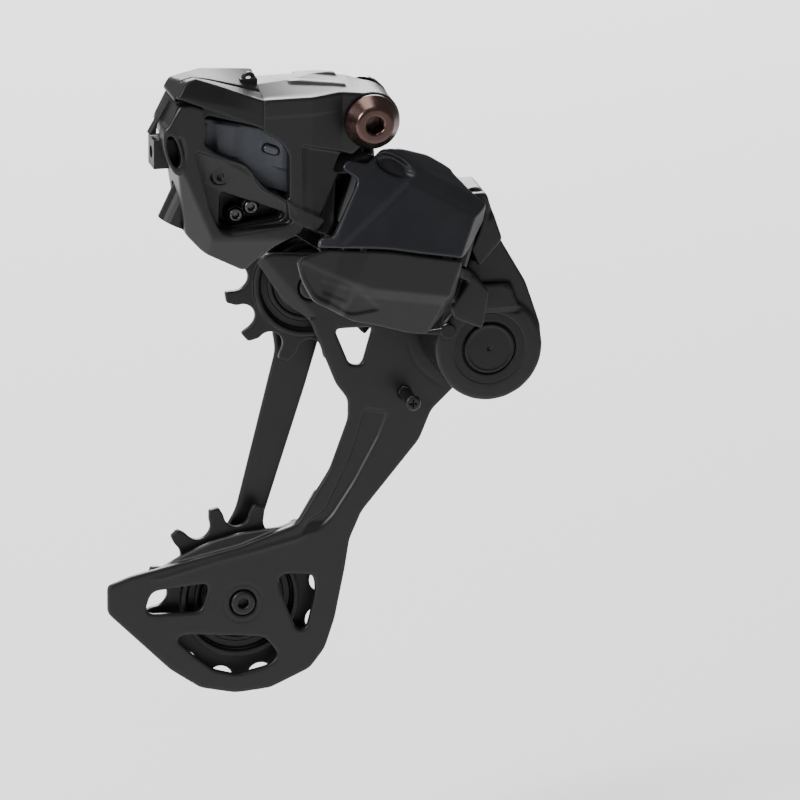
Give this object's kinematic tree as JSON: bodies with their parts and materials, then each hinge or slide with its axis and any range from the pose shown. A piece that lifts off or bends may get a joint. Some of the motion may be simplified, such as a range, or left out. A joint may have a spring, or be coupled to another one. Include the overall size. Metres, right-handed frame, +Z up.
{
  "type": "rear bicycle derailleur",
  "caption": "Motor-driven slant-parallelogram rear derailleur: a base on a hanger bolt, two links, a knuckle with a clutch and a sprung cage with two chain pulleys.",
  "frame": {"origin": "hanger bolt's axis, in the plane of the hanger's outer face", "axes": "+X to the front of the bicycle, +Y inboard to the wheel, +Z up"},
  "size_m": [0.1306, 0.0652, 0.2103],
  "materials": {
    "black_anodised": "satin black paint over aluminium",
    "black_plastic": "fine-grained black moulding",
    "link_paint": "satin dark grey paint with a blue cast",
    "grey_casting": "bead-blasted grey casting",
    "steel": "turned steel",
    "copper_steel": "steel with a copper-brown coat",
    "bronze": "sintered bronze",
    "circuit_board": "green solder mask",
    "rubber": "matt",
    "lens": "smooth dark grey"
  },
  "bodies": {
    "hanger_side": {"hanger_bolt": "copper_steel", "angle_stop_plate": "steel", "axle_snap_ring": "steel"},
    "base": {"base_body": "black_anodised", "axle_bush": "bronze", "base_top_cover": "black_plastic", "base_rear_cover": "black_plastic", "motor_housing": "grey_casting", "circuit_board": "circuit_board", "motor_can": "black_anodised", "wire_port": "black_plastic", "cable_guard": "black_plastic", "inboard_limit_screw": "steel", "outboard_limit_screw": "steel", "angle_screw": "steel", "outer_base_pin": "steel", "inner_base_pin": "steel"},
    "mode_button": {"mode_button": "lens"},
    "drive_worm": {"drive_worm": "steel"},
    "reduction_gear": {"reduction_gear": "bronze"},
    "outer_link": {"outer_link": "black_anodised", "outer_link_cover": "link_paint", "outer_link_lower_cover": "black_plastic", "cover_screw_rear": "steel", "cover_screw_front": "steel"},
    "inner_link": {"inner_link": "black_anodised"},
    "knuckle": {"knuckle_body": "black_anodised", "knuckle_cap": "black_plastic", "cage_spring": "steel", "clutch_band": "steel", "outer_knuckle_pin": "steel", "inner_knuckle_pin": "steel"},
    "clutch_switch": {"clutch_switch": "black_plastic"},
    "cage": {"cage_axle": "steel", "clutch_roller": "steel", "outer_cage_plate": "black_anodised", "inner_cage_plate": "black_anodised", "cage_stop_pin": "steel", "guide_pulley_bolt": "black_anodised", "tension_pulley_bolt": "black_anodised", "guide_pulley_bush": "bronze", "tension_pulley_bush": "bronze", "guide_outer_seal": "rubber", "guide_inner_seal": "rubber", "tension_outer_seal": "rubber", "tension_inner_seal": "rubber"},
    "guide_pulley": {"guide_pulley": "black_plastic"},
    "tension_pulley": {"tension_pulley": "black_plastic"}
  },
  "joints": [
    {"name": "base_pivot", "type": "hinge", "parent": "hanger_side", "child": "base", "pos_m": [0, 0, 0], "axis": [0, 1, 0], "range_deg": [0, 35]},
    {"name": "mode_button_press", "type": "slide", "parent": "base", "child": "mode_button", "axis": [0, 1, 0], "range_m": [0, 0.0006], "stiffness_N_per_m": 400},
    {"name": "parallelogram", "type": "hinge", "parent": "base", "child": "outer_link", "pos_m": [-0.005, -0.013, -0.025], "axis": [-0.3609, -0.3009, -0.8827], "range_deg": [-24, 31]},
    {"name": "inner_link_pivot", "type": "hinge", "parent": "base", "child": "inner_link", "pos_m": [-0.0025, -0.001, -0.0301], "axis": [-0.3609, -0.3009, -0.8827], "range_deg": [-24, 31]},
    {"name": "gear_spin", "type": "hinge", "parent": "base", "child": "reduction_gear", "pos_m": [-0.0407, -0.0086, -0.0056], "axis": [0, 1, 0], "range_deg": [-48, 62]},
    {"name": "worm_spin", "type": "hinge", "parent": "base", "child": "drive_worm", "pos_m": [-0.04832, -0.0086, -0.00739], "axis": [0.4311, 0, 0.9023], "range_deg": [-768, 992]},
    {"name": "knuckle_pivot", "type": "hinge", "parent": "outer_link", "child": "knuckle", "pos_m": [0.03089, -0.0073, -0.04161], "axis": [-0.3609, -0.3009, -0.8827], "range_deg": [-31, 24]},
    {"name": "clutch_lever", "type": "hinge", "parent": "knuckle", "child": "clutch_switch", "pos_m": [0.0272, -0.004, -0.0725], "axis": [0, 1, 0], "range_deg": [0, 70]},
    {"name": "cage_pivot", "type": "hinge", "parent": "knuckle", "child": "cage", "pos_m": [0.0406, 0.01, -0.0796], "axis": [0, 1, 0], "range_deg": [-70, 15], "stiffness_Nm_per_rad": 0.12, "springref_deg": 14.9},
    {"name": "guide_pulley_spin", "type": "hinge", "parent": "cage", "child": "guide_pulley", "pos_m": [-0.0094, 0.03, -0.064], "axis": [0, 1, 0], "continuous": true},
    {"name": "tension_pulley_spin", "type": "hinge", "parent": "cage", "child": "tension_pulley", "pos_m": [-0.031, 0.03, -0.1635], "axis": [0, 1, 0], "continuous": true}
  ],
  "couplings": [
    {"joint": "inner_link_pivot", "follows": "parallelogram", "ratio": 1},
    {"joint": "knuckle_pivot", "follows": "parallelogram", "ratio": -1},
    {"joint": "gear_spin", "follows": "parallelogram", "ratio": 2},
    {"joint": "worm_spin", "follows": "parallelogram", "ratio": 32}
  ]
}
